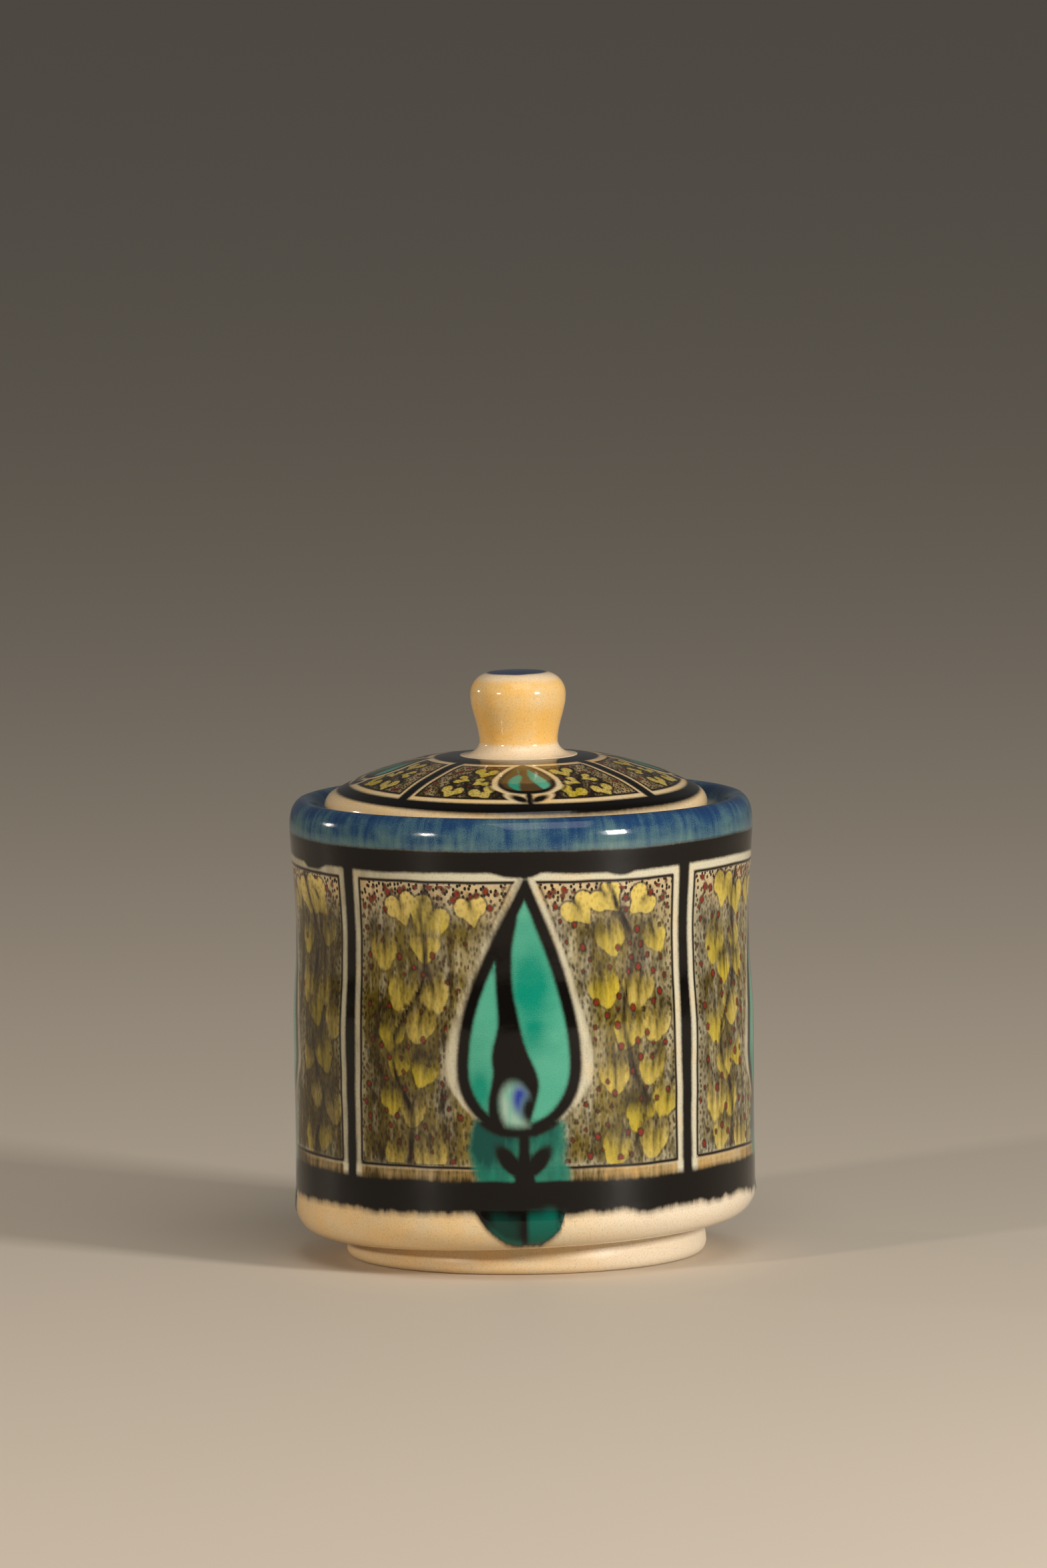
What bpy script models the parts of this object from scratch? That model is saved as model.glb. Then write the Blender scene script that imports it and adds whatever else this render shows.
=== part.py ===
"""A lidded pottery jar: a thrown body on a foot ring, and a domed lid with a knob.

Units are metres and +Z is up. The origin is the centre of the foot on the table.
Every piece is turned on the wheel, so each is a half outline spun round its own axis.
"""

import math

import bpy

# The jar's body
JAR_HEIGHT = 0.1313  # table to the crest of the rim
RIM_RADIUS = 0.0660  # widest point of the rim's bead
BEAD_DROP = 0.0069  # crest down to that widest point
WAIST_RADIUS = 0.0646
WAIST_DROP = 0.0370  # crest down to the waist
BELLY_RADIUS = 0.0657
BELLY_RISE = 0.0535  # underside of the body up to where the belly starts
HEEL_RADIUS = 0.0080  # rounding where the wall turns under to the base
WALL = 0.0062
FLOOR = 0.0065
FLOOR_FILLET = 0.0090  # inside rounding between the wall and the floor

# The gallery that the lid sits in
RIM_WALL = 0.0077  # thickness of the rim that stands up round the lid
RIM_INNER_DROP = 0.0036  # crest down to the straight inside of the rim
GALLERY_DEPTH = 0.0060  # crest down to the ledge
LEDGE_WIDTH = 0.0082
LEDGE_THICKNESS = 0.0058
LEDGE_ROUND = 0.0016  # rounding of the ledge's inner lip
LEDGE_UNDERCUT = 0.0090  # height over which the ledge runs back into the wall

# The foot ring
FOOT_HEIGHT = 0.0085
FOOT_RADIUS = 0.0514  # widest point of the ring
FOOT_NECK_RADIUS = 0.0503  # where the ring meets the body
FOOT_WIDTH = 0.0078  # radial thickness of the ring
FOOT_ROUND = 0.0026  # rounding of the edge that meets the table

# The lid
LID_PLAY = 0.0036  # gap all round between the lid's edge and the rim
LID_RISE = 0.0176  # underside of the lid's seat up to the top of the dome
LID_EDGE_RISE = 0.0035  # underside of the seat up to the lid's widest point
LID_LIP = 0.0045  # rounding over the lid's edge
LID_LIP_START = 62  # degrees above level at which the dome runs into that rounding
LID_EDGE_ROUND = 0.0026  # rounding under the lid's edge
LID_SEAT_WIDTH = 0.0062  # flat ring that rests on the ledge
LID_WALL = 0.0058
LID_FLAT_RADIUS = 0.0150  # flat top that the knob is joined to
LID_REST_OFFSET = -0.0013  # the lid lies this far along X in its loose gallery

# The knob
KNOB_HEIGHT = 0.0234
KNOB_RADIUS = 0.0137
KNOB_SHOULDER = 0.0062  # top of the knob down to its widest point
KNOB_WAIST_RADIUS = 0.0112
KNOB_WAIST_RISE = 0.0041  # base of the knob up to its waist
KNOB_BASE_RADIUS = 0.0168  # spread of clay that joins the knob to the lid
KNOB_BASE_LIP = 0.0005  # thickness of that spread at its edge
KNOB_TOP_RADIUS = 0.0070  # flat top
KNOB_OFFSET = 0.0010  # the knob stands this far along X from the lid's centre

# How the pieces meet, and how finely they are turned
SLIP_JOINT = 0.0003  # layer of slip between two pieces, and the lid's gap on its ledge
TURNS = 64  # facets round the jar
KNOB_TURNS = 40
MERGE = 0.00001

# What follows from those sizes
UNDERSIDE = FOOT_HEIGHT
LEDGE_LEVEL = JAR_HEIGHT - GALLERY_DEPTH
GALLERY_RADIUS = RIM_RADIUS - RIM_WALL
MOUTH_RADIUS = GALLERY_RADIUS - LEDGE_WIDTH
LID_LEVEL = LEDGE_LEVEL + SLIP_JOINT
LID_RADIUS = GALLERY_RADIUS - LID_PLAY
KNOB_LEVEL = LID_LEVEL + LID_RISE + SLIP_JOINT


def arc(centre, radii, start, end, steps):
    """Points on an ellipse about centre, from angle start to end in degrees, both ends included."""
    points = []
    for step in range(steps + 1):
        angle = math.radians(start + (end - start) * step / steps)
        points.append((centre[0] + radii[0] * math.cos(angle), centre[1] + radii[1] * math.sin(angle)))
    return points


def ease(start, end, steps):
    """Points from start to end, with even steps in height and half a cosine wave in radius."""
    points = []
    for step in range(steps + 1):
        share = step / steps
        swing = (1 - math.cos(math.pi * share)) / 2
        points.append((start[0] + (end[0] - start[0]) * swing, start[1] + (end[1] - start[1]) * share))
    return points


def glaze(name, colour, roughness):
    """A glossy fired glaze or bare clay of one plain colour."""
    material = bpy.data.materials.new(name)
    material.use_nodes = True
    shader = material.node_tree.nodes["Principled BSDF"]
    shader.inputs["Base Color"].default_value = (*colour, 1.0)
    shader.inputs["Roughness"].default_value = roughness
    shader.inputs["Metallic"].default_value = 0.0
    return material


def turned(name, outline, closed, turns, material, collection, parent=None, place=(0, 0, 0)):
    """Spins an outline of (radius, height) points round +Z, with the outer side running down."""
    points = [(radius, 0.0, height) for radius, height in outline]
    edges = [(i, i + 1) for i in range(len(points) - 1)]
    if closed:
        edges.append((len(points) - 1, 0))
    mesh = bpy.data.meshes.new(name)
    mesh.from_pydata(points, edges, [])
    mesh.materials.append(material)
    piece = bpy.data.objects.new(name, mesh)
    collection.objects.link(piece)
    piece.parent = parent
    piece.location = place
    screw = piece.modifiers.new("Spin", "SCREW")
    screw.axis = "Z"
    screw.angle = math.tau
    screw.steps = turns
    screw.render_steps = turns
    screw.use_merge_vertices = True
    screw.merge_threshold = MERGE
    screw.use_smooth_shade = True
    return piece


def body_outline():
    """From the middle of the floor up the inside, over the rim and down the outside to the base."""
    inner = BELLY_RADIUS - WALL
    floor_level = UNDERSIDE + FLOOR
    crest_radius = RIM_RADIUS - RIM_WALL / 2
    ledge_foot = LEDGE_LEVEL - LEDGE_THICKNESS
    fillet_centre = (inner - FLOOR_FILLET, floor_level + FLOOR_FILLET)
    lip_centre = (MOUTH_RADIUS + LEDGE_ROUND, LEDGE_LEVEL - LEDGE_ROUND)
    heel_centre = (BELLY_RADIUS - HEEL_RADIUS, UNDERSIDE + HEEL_RADIUS)
    bead = (RIM_RADIUS, JAR_HEIGHT - BEAD_DROP)
    waist = (WAIST_RADIUS, JAR_HEIGHT - WAIST_DROP)
    belly = (BELLY_RADIUS, UNDERSIDE + BELLY_RISE)
    return [
        (0.0, floor_level),
        *arc(fillet_centre, (FLOOR_FILLET, FLOOR_FILLET), -90, 0, 4),
        (WAIST_RADIUS - WALL, ledge_foot - LEDGE_UNDERCUT),
        (MOUTH_RADIUS, ledge_foot),
        *arc(lip_centre, (LEDGE_ROUND, LEDGE_ROUND), 180, 90, 2),
        (GALLERY_RADIUS, LEDGE_LEVEL),
        *arc((crest_radius, JAR_HEIGHT - RIM_INNER_DROP), (RIM_WALL / 2, RIM_INNER_DROP), 180, 90, 4),
        *arc((crest_radius, JAR_HEIGHT - BEAD_DROP), (RIM_WALL / 2, BEAD_DROP), 90, 0, 5)[1:-1],
        *ease(bead, waist, 5)[:-1],
        *ease(waist, belly, 5),
        *arc(heel_centre, (HEEL_RADIUS, HEEL_RADIUS), 0, -90, 5),
        (0.0, UNDERSIDE),
    ]


def foot_outline():
    """A ring that hollows below the body, flares to a bead and rounds in to a flat face on the table."""
    top = FOOT_HEIGHT - SLIP_JOINT
    inner = FOOT_RADIUS - FOOT_WIDTH
    return [
        (inner, top),
        *ease((FOOT_NECK_RADIUS, top), (FOOT_RADIUS, FOOT_ROUND), 4),
        *arc((FOOT_RADIUS - FOOT_ROUND, FOOT_ROUND), (FOOT_ROUND, FOOT_ROUND), 0, -90, 3)[1:],
        (inner, 0.0),
    ]


def lid_outline():
    """From the middle of the hollow underside to the seat, round the edge and back over the dome."""
    seat_outer = LID_RADIUS - LID_EDGE_ROUND
    seat_inner = seat_outer - LID_SEAT_WIDTH
    hollow_rise = LID_RISE - LID_WALL
    lip = arc((LID_RADIUS - LID_LIP, LID_EDGE_RISE), (LID_LIP, LID_LIP), LID_LIP_START, 0, 4)
    span = lip[0][0] - LID_FLAT_RADIUS
    drop = LID_RISE - lip[0][1]
    dome = [(LID_FLAT_RADIUS + span * i / 7, LID_RISE - drop * (i / 7) ** 2) for i in range(7)]
    edge = arc((seat_outer, LID_EDGE_RISE), (LID_EDGE_ROUND, LID_EDGE_RISE), 0, -90, 3)[1:]
    hollow = arc((0.0, 0.0), (seat_inner, hollow_rise), 0, 90, 7)
    return [(0.0, LID_RISE), *dome, *lip, *edge, *hollow[:-1], (0.0, hollow_rise)]


def knob_outline():
    """From the flat top over the round shoulder, in to the waist and out to the spread base."""
    waist = (KNOB_WAIST_RADIUS, KNOB_WAIST_RISE)
    spread = (KNOB_BASE_RADIUS - KNOB_WAIST_RADIUS, KNOB_WAIST_RISE - KNOB_BASE_LIP)
    shoulder_centre = (KNOB_TOP_RADIUS, KNOB_HEIGHT - KNOB_SHOULDER)
    shoulder = arc(shoulder_centre, (KNOB_RADIUS - KNOB_TOP_RADIUS, KNOB_SHOULDER), 90, 0, 5)
    stem = ease((KNOB_RADIUS, KNOB_HEIGHT - KNOB_SHOULDER), waist, 5)
    base = arc((KNOB_BASE_RADIUS, KNOB_WAIST_RISE), spread, 180, 270, 4)[1:]
    return [(0.0, KNOB_HEIGHT), *shoulder[:-1], *stem, *base, (KNOB_BASE_RADIUS, 0.0), (0.0, 0.0)]


def clear_scene():
    for old in list(bpy.data.objects):
        bpy.data.objects.remove(old, do_unlink=True)


def build_jar():
    jar = bpy.data.collections.new("pottery_jar")
    bpy.context.scene.collection.children.link(jar)

    painted = glaze("painted glaze", (0.24, 0.20, 0.09), 0.12)
    cream = glaze("cream glaze", (0.72, 0.52, 0.27), 0.20)

    turned("jar_body", body_outline(), False, TURNS, painted, jar)
    turned("foot_ring", foot_outline(), True, TURNS, cream, jar)

    lid_axis = bpy.data.objects.new("lid_axis", None)
    lid_axis.location = (LID_REST_OFFSET, 0, LID_LEVEL)
    jar.objects.link(lid_axis)
    turned("lid", lid_outline(), False, TURNS, painted, jar, lid_axis)
    knob_place = (KNOB_OFFSET, 0, KNOB_LEVEL - LID_LEVEL)
    turned("knob", knob_outline(), False, KNOB_TURNS, cream, jar, lid_axis, knob_place)


clear_scene()
build_jar()
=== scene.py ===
"""The looks of a lidded pottery jar, worked out as turned surfaces with hand-painted glaze.

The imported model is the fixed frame. Four pieces replace its plain solids: the jar, its foot, the lid and the knob.
Each is a turned outline swept round its axis, and the painting is worked out as fields over the same grid,
in millimetres, which the glaze materials then turn into colour.
"""

import math
from types import SimpleNamespace

import bpy
import numpy as np
from mathutils import Matrix, Vector


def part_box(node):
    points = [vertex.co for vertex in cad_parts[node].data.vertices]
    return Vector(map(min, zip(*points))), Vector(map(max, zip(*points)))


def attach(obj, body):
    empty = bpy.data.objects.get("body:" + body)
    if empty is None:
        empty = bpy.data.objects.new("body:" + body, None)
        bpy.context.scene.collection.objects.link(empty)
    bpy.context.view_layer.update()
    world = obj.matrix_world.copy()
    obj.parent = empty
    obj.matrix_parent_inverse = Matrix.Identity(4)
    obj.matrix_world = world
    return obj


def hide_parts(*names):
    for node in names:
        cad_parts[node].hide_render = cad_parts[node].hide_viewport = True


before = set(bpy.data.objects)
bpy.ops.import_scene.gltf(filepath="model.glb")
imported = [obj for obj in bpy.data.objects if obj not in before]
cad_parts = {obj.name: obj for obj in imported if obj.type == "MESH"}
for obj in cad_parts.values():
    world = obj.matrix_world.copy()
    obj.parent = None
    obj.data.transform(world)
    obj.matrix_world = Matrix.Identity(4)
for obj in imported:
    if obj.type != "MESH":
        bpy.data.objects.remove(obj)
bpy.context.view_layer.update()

bl_info = {
    "name": "Lidded pottery jar",
    "version": (1, 0, 0),
    "blender": (4, 5, 0),
    "location": "3D View > Sidebar > Pottery",
    "description": "Builds a hand-painted lidded jar round its packed model",
    "category": "Object",
}

MM = 0.001


def linear(hex_colour):
    """The linear RGBA of an sRGB hex colour such as #e8cfa0."""
    srgb = np.array([int(hex_colour[i : i + 2], 16) for i in (1, 3, 5)]) / 255
    rgb = np.where(srgb <= 0.04045, srgb / 12.92, ((srgb + 0.055) / 1.055) ** 2.4)
    return (*rgb.tolist(), 1.0)


def box_mm(node):
    """A node's lowest and highest corner in millimetres."""
    low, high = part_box(node)
    return np.array(low) / MM, np.array(high) / MM


JAR_LOW, JAR_HIGH = box_mm("jar_body")
_, FOOT_HIGH = box_mm("foot_ring")
LID_LOW, LID_HIGH = box_mm("lid")
KNOB_LOW, KNOB_HIGH = box_mm("knob")
LID_AXIS = float(LID_LOW[0] + LID_HIGH[0]) / 2
KNOB_AXIS = float(KNOB_LOW[0] + KNOB_HIGH[0]) / 2


def length(name, description, millimetres):
    """A length that a user can change, written here in millimetres and kept in Blender's metres."""
    return bpy.props.FloatProperty(
        name=name,
        description=description,
        subtype="DISTANCE",
        unit="LENGTH",
        precision=4,
        min=0.0,
        max=0.4,
        default=millimetres * MM,
    )


def paint(name, description, hex_colour):
    """A glaze or clay colour that a user can change."""
    return bpy.props.FloatVectorProperty(
        name=name, description=description, subtype="COLOR", size=4, min=0, max=1, default=linear(hex_colour)
    )


class JarSizes(bpy.types.PropertyGroup):
    """Sizes that the frame's boxes don't give."""

    rim_wall: length("Rim wall", "Thickness of the rim round the lid", 7.7)
    rim_bead: length("Rim bead", "Crest of the rim down to its widest point", 6.9)
    rim_inner: length("Rim inner rounding", "Crest down to the straight inside of the rim", 3.6)
    gallery: length("Gallery depth", "Crest of the rim down to the ledge that carries the lid", 6.0)
    ledge: length("Ledge width", "Width of the ledge inside the rim", 8.2)
    ledge_thick: length("Ledge thickness", "Thickness of the ledge at its lip", 5.8)
    undercut: length("Ledge undercut", "Height over which the ledge runs back into the wall", 9.0)
    waist: length("Waist radius", "Outside radius at the waist", 64.6)
    waist_drop: length("Waist drop", "Crest of the rim down to the waist", 37.0)
    belly: length("Belly radius", "Outside radius of the belly", 65.7)
    belly_rise: length("Belly rise", "Underside up to where the belly starts", 53.5)
    heel: length("Heel rounding", "Radius where the wall turns under", 8.0)
    wall: length("Wall", "Thickness of the wall", 6.2)
    floor: length("Floor", "Thickness of the floor", 6.5)
    fillet: length("Floor fillet", "Inside rounding between the wall and the floor", 9.0)
    lean: length("Heel lean", "How far the heel dips on the left and lifts on the right", 1.9)
    foot_neck: length("Foot neck", "Radius where the foot meets the body", 50.3)
    foot_width: length("Foot width", "Radial thickness of the foot ring", 7.8)
    foot_round: length("Foot rounding", "Rounding of the edge on the table", 2.6)
    lid_edge: length("Lid edge", "Underside of the lid up to its widest point", 3.5)
    lid_lip: length("Lid lip", "Rounding over the lid's edge", 4.5)
    lid_under: length("Lid under-rounding", "Rounding under the lid's edge", 2.6)
    lid_seat: length("Lid seat", "Width of the flat ring that rests on the ledge", 6.2)
    lid_wall: length("Lid wall", "Thickness of the lid", 5.8)
    lid_flat: length("Lid flat", "Radius of the flat top under the knob", 15.0)
    knob_grip: length("Knob radius", "Widest radius of the knob", 13.7)
    knob_shoulder: length("Knob shoulder", "Top of the knob down to its widest point", 6.2)
    knob_waist: length("Knob waist", "Radius of the knob's waist", 11.2)
    knob_waist_rise: length("Knob waist rise", "Base of the knob up to its waist", 4.1)
    knob_top: length("Knob top", "Radius of the flat top", 7.0)


class JarColours(bpy.types.PropertyGroup):
    """Colours of the clay slip and of the painted oxides under the clear glaze."""

    cream: paint("Cream slip", "Ground under the painting", "#cbc5ab")
    ochre: paint("Ochre", "Warm stain where the slip is thin", "#e8b866")
    blush: paint("Pale slip", "Pale slip on the foot and round the knob's base", "#e8d9c0")
    speck: paint("Iron speck", "Specks of iron in the clay", "#5a3516")
    wash: paint("Olive wash", "Thin paint that ran down the panels", "#4a3c14")
    violet: paint("Violet wash", "Soft branches between the blossoms", "#4f4648")
    straw: paint("Straw yellow", "Pale blossoms", "#dcc263")
    lemon: paint("Lemon yellow", "Strong blossoms", "#d2ba24")
    red: paint("Red dots", "Dots of red slip", "#842415")
    umber: paint("Umber", "Stems, dots and shading", "#1b1107")
    black: paint("Manganese black", "Bands, bars and outlines", "#080503")
    teal: paint("Copper green", "Inside of the drops", "#03826a")
    teal_pale: paint("Pale copper green", "Copper green where it is thin", "#55a58a")
    brown: paint("Brown", "Inside of the lid's drops", "#4f3a1a")
    eye: paint("Pale eye", "Thin white at the foot of a drop", "#9db0a0")
    spot: paint("Cobalt spot", "Blue in the eye of a drop", "#1a2f8c")
    run: paint("Run green", "Green-blue glaze that ran out below", "#07443d")
    cobalt: paint("Cobalt blue", "Rim", "#254866")
    cobalt_deep: paint("Deep cobalt", "Where the blue is thick", "#152d58")
    celadon: paint("Washed blue", "Where the blue ran thin", "#5f7b74")


def sizes_in_mm(context):
    """The jar's sizes by name, in millimetres."""
    sizes = context.scene.pottery_sizes
    return SimpleNamespace(**{name: round(getattr(sizes, name) / MM, 3) for name in JarSizes.__annotations__})


def smoothstep(value, low, high):
    """0 below low, 1 above high and an S-curve between."""
    t = np.clip((value - low) / (high - low), 0, 1)
    return t * t * (3 - 2 * t)


def arc(centre, radii, start, end, steps):
    """Points on an ellipse about centre, from angle start to end in degrees, both ends included."""
    angle = np.radians(np.linspace(start, end, steps + 1))
    return np.stack([centre[0] + radii[0] * np.cos(angle), centre[1] + radii[1] * np.sin(angle)], axis=1)


def ease(start, end, steps):
    """Points from start to end, with even steps in height and half a cosine wave in radius."""
    share = np.linspace(0, 1, steps + 1)
    swing = (1 - np.cos(np.pi * share)) / 2
    return np.stack([start[0] + (end[0] - start[0]) * swing, start[1] + (end[1] - start[1]) * share], axis=1)


def resample(outline, weights, rows):
    """Points along an outline, spaced evenly in its length times the weight given at each of its points."""
    step = np.hypot(*np.diff(outline, axis=0).T) * (weights[1:] + weights[:-1]) / 2
    place = np.concatenate([[0], np.cumsum(step)])
    wanted = np.linspace(0, place[-1], rows)
    return np.stack([np.interp(wanted, place, outline[:, k]) for k in (0, 1)], axis=1)


def drift(value, span, seed, period=None):
    """Smooth random numbers from -1 to 1 along one axis, a new one every span, joined by cosine curves."""
    count = max(2, round(period / span)) if period else 4096
    pitch = period / count if period else span
    lattice = np.random.default_rng(seed).uniform(-1, 1, count)
    place = np.asarray(value) / pitch
    cell = np.floor(place).astype(int)
    blend = (1 - np.cos(np.pi * (place - cell))) / 2
    return lattice[cell % count] * (1 - blend) + lattice[(cell + 1) % count] * blend


def wrap(angle):
    """An angle brought into -pi to pi."""
    return (angle + np.pi) % (2 * np.pi) - np.pi


def once_round(columns, start=0.0):
    """Angles of evenly spaced columns once round an axis, with the closing one at the end."""
    return start + np.linspace(0, 2 * np.pi, columns + 1)


def turned_surface(name, radius, height, angle, axis_x=0.0, fields=None, uv=None, ring=False):
    """Sweeps rows of radius and height round an upright axis: x = r sin a, y = -r cos a.

    Rows run down the outer side, so faces point outwards. The first and last row close to a pole, and on a ring
    the last row joins the first. radius and height are arrays of rows by columns, or of rows by one.
    """
    shape = (len(radius), len(angle))
    radius, height = np.broadcast_to(radius, shape), np.broadcast_to(height, shape)
    x, y = axis_x + radius * np.sin(angle), -radius * np.cos(angle)
    points = np.stack([x, y, height], axis=2) * MM
    rows, cols = shape
    if ring:
        ids = np.arange(rows * cols).reshape(shape)
        ids = np.vstack([ids, ids[:1]])
        vertices = points.reshape(-1, 3)
    else:
        inner = np.arange((rows - 2) * cols).reshape(rows - 2, cols) + 1
        last = (rows - 2) * cols + 1
        ids = np.vstack([np.zeros((1, cols), int), inner, np.full((1, cols), last)])
        vertices = np.vstack([points[:1].mean(axis=1), points[1:-1].reshape(-1, 3), points[-1:].mean(axis=1)])
    row, col = np.meshgrid(np.arange(len(ids) - 1), np.arange(cols), indexing="ij")
    corner_row = np.stack([row, row + 1, row + 1, row], axis=2).reshape(-1, 4)
    corner_col = np.stack([col, col, col + 1, col + 1], axis=2).reshape(-1, 4)
    quads = ids[corner_row, corner_col % cols]
    keep = np.ones(quads.shape, bool)
    keep[:, 3] = quads[:, 3] != quads[:, 0]
    keep[:, 2] = quads[:, 2] != quads[:, 1]
    sizes = keep.sum(axis=1)
    mesh = bpy.data.meshes.new(name)
    mesh.vertices.add(len(vertices))
    mesh.vertices.foreach_set("co", vertices.ravel())
    mesh.loops.add(int(sizes.sum()))
    mesh.loops.foreach_set("vertex_index", quads[keep])
    mesh.polygons.add(len(quads))
    mesh.polygons.foreach_set("loop_start", np.concatenate([[0], np.cumsum(sizes)[:-1]]))
    mesh.update(calc_edges=True)
    mesh.shade_smooth()
    add_uv(mesh, "OFBake", corner_col[keep] / cols, 1 - corner_row[keep] / (len(ids) - 1))
    if uv is not None:
        u, v = (np.broadcast_to(part, (rows, cols + 1)) for part in uv)
        add_uv(mesh, "Painting", u[corner_row % rows, corner_col][keep], v[corner_row % rows, corner_col][keep])
    for field, values in (fields or {}).items():
        values = np.broadcast_to(values, shape)
        if not ring:
            ends = values[:1].mean(axis=1), values[-1:].mean(axis=1)
            values = np.concatenate([ends[0], values[1:-1].ravel(), ends[1]])
        mesh.attributes.new(field, "FLOAT", "POINT").data.foreach_set("value", values.ravel().astype(np.float32))
    mesh.validate()
    piece = bpy.data.objects.new(name, mesh)
    bpy.context.scene.collection.objects.link(piece)
    return piece


def add_uv(mesh, name, u, v):
    """A UV map from one u and one v for each face corner."""
    layer = mesh.uv_layers.new(name=name)
    layer.uv.foreach_set("vector", np.stack([u, v], axis=1).ravel().astype(np.float32))


def add(tree, kind, inputs=(), out=0, **settings):
    """Adds a shader node with its settings, fills its inputs with values or links, and returns one output."""
    node = tree.nodes.new("ShaderNode" + kind)
    for name, value in settings.items():
        setattr(node, name, value)
    for socket, value in inputs.items() if isinstance(inputs, dict) else enumerate(inputs):
        if isinstance(value, bpy.types.NodeSocket):
            tree.links.new(value, node.inputs[socket])
        else:
            node.inputs[socket].default_value = value
    return node.outputs[out]


FAR = 50.0  # millimetres, a distance that stands for no paint nearby

# Where the painting lies on the jar, in millimetres and degrees from the front, positive to the right
BAR_ANGLES = np.radians([-48.3, 44.5, 136.5, 227.0])
DROP_ANGLES = np.radians([-0.2, 92.5, 181.0, 267.5])
BLUE_FOOT = 122.4
BAND_FOOT = 115.8
FIELD_FOOT = 32.2
LOW_BAND_TOP = 28.6
LOW_BAND_FOOT = 19.9
BAR_HALF = 1.9
CREAM_LINE = 2.1
WASH_AND_SHADE_ANGLE = math.radians(-66)  # where the washes lie thickest, and where the side away from the key lamp is darkened as painted shade
DROP_TIP = 116.2
DROP_WIDEST = 61.0
DROP_BOTTOM = 41.5
DROP_HALF = 17.6
DROP_PINCH = 1.1  # above 1 the sides of a drop hollow towards its tip
OUTLINE = 3.0  # width of a drop's black outline
HALO = 3.3  # width of the pale halo round it
PANEL_HALF = 47.0  # from a drop's middle line to the edge of its panel
DRY_FROM, DRY_FULL = 98, 112  # the glaze ran below the first level and stayed above the second
WET_FROM, WET_FULL = 31, 33  # levels at the foot of a panel where the streaks end
EYE = -0.9, 49.7, 4.5, 7.0  # offset, height, half-width and half-height, as in the next two
COBALT_SPOT = 1.0, 52.2, 3.0, 4.8
CLEAR_SPOT = 3.1, 49.0, 2.7, 4.2  # where the black shows through the eye
SHELF_LEVEL, SHELF_HALF = 42.9, 11.0  # thick foot of the outline
STEM_OFFSET, STEM_HALF, STEM_TOP, STEM_FOOT = 1.5, 1.3, 43.0, 27.0
LEAF_OFFSET, LEAF_LEVEL, LEAF_LONG, LEAF_WIDE = 4.0, 34.0, 5.3, 2.25
RUN_HALF, RUN_TOP = 13.7, 47.5  # green that ran out of a drop
# Red dots as tries, lowest and highest level and least spacing: all over, and closer along the top
RED_DOTS = ((4000, 33, 112, 3.4), (700, 104, 113, 2.6))
RED_RADII = 0.5, 0.95
# The lower edge of the glaze that ran out under a drop, and how low it ends under each drop
DRIP_OFFSETS = [-15.8, -13.4, -10.3, -7.3, -4.3, -0.6, 5.5, 7.7, 9.1, 10.9, 11.8, 12.6, 15.8]
DRIP_LEVELS = [22.0, 20.4, 16.1, 13.0, 11.0, 10.0, 10.2, 11.8, 13.0, 14.9, 17.3, 19.6, 22.0]
DRIP_ENDS = np.array([10.0, 16.5, 14.5, 12.0])
# The comma stroke inside a drop: its left and right edge at each height
STROKE_LEVELS = [44.0, 47.2, 53.8, 57.5, 61.1, 65.8, 70.5, 75.2, 77.6, 84.4, 92.7, 96.0, 104.0]
STROKE_LEFT = [-8.6, -8.6, -8.2, -6.9, -7.2, -7.8, -5.9, -5.7, -6.0, -6.8, -7.6, -8.4, -8.4]
STROKE_RIGHT = [2.6, 3.4, 5.4, 5.8, 4.0, 1.8, 0.4, -0.4, -1.2, -2.6, -3.2, -3.2, -1.8]
# Where the copper green lies thick: offset, height, half-width, half-height and how thick
THICK_GREEN = (
    (3.0, 84.0, 5.5, 10.0, 1.0),
    (4.0, 71.0, 4.0, 5.0, 0.75),
    (-11.0, 55.0, 3.5, 6.0, 0.8),
    (-11.5, 40.0, 4.0, 5.0, 1.0),
    (-4.0, 39.0, 5.0, 3.0, 0.8),
    (6.0, 41.0, 4.0, 2.5, 0.8),
    (-8.0, 30.5, 4.0, 1.6, 0.8),
)


def oval(across, up, half, tall):
    """Distance in mm outside an oval: the radius in units of its half-axes, less 1, times the shorter one."""
    return (np.hypot(across / half, up / tall) - 1) * min(half, tall)


def drop_share(z, least=0.0):
    """How far down a level lies between a drop's tip and its widest level, from least to 1."""
    return np.clip((DROP_TIP - z) / (DROP_TIP - DROP_WIDEST), least, 1)


def drop_width(share):
    """Half the width of a drop above its widest level: a quarter sine wave to a power."""
    return DROP_HALF * np.sin(np.pi / 2 * share) ** DROP_PINCH


def drop_distance(a, z):
    """Distance in mm outside a drop: a sine-shaped point above its widest level, half an ellipse below."""
    share = drop_share(z, 0.004)  # just over 0, so that the tip keeps a little width
    slope = DROP_HALF * DROP_PINCH * np.pi / 2 / (DROP_TIP - DROP_WIDEST) * np.cos(np.pi / 2 * share)
    upper = (np.abs(a) - drop_width(share)) / np.sqrt(1 + slope**2)
    lower = oval(a, z - DROP_WIDEST, DROP_HALF, DROP_WIDEST - DROP_BOTTOM)
    return np.where(z > DROP_WIDEST, np.maximum(upper, z - DROP_TIP), lower)


def heart_distance(p, q, size, blunt=0.0):
    """Distance in mm outside a heart-shaped blossom: two round lobes and a wedge, whose point a run glaze blunts."""
    p, q = p / size, q / size
    lobes = np.hypot(np.abs(p) - 0.28, (q - 0.14) * 0.85) - 0.23
    wedge = np.maximum((np.abs(p) - 0.74 * (q + 0.50)) * 0.8, q - 0.06)
    belly = np.hypot(p / 1.15, q + 0.12) - 0.29
    wedge = wedge * (1 - blunt) + np.minimum(np.maximum(wedge, -q - 0.3), belly) * blunt
    return np.minimum(lobes, wedge) * size


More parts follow.
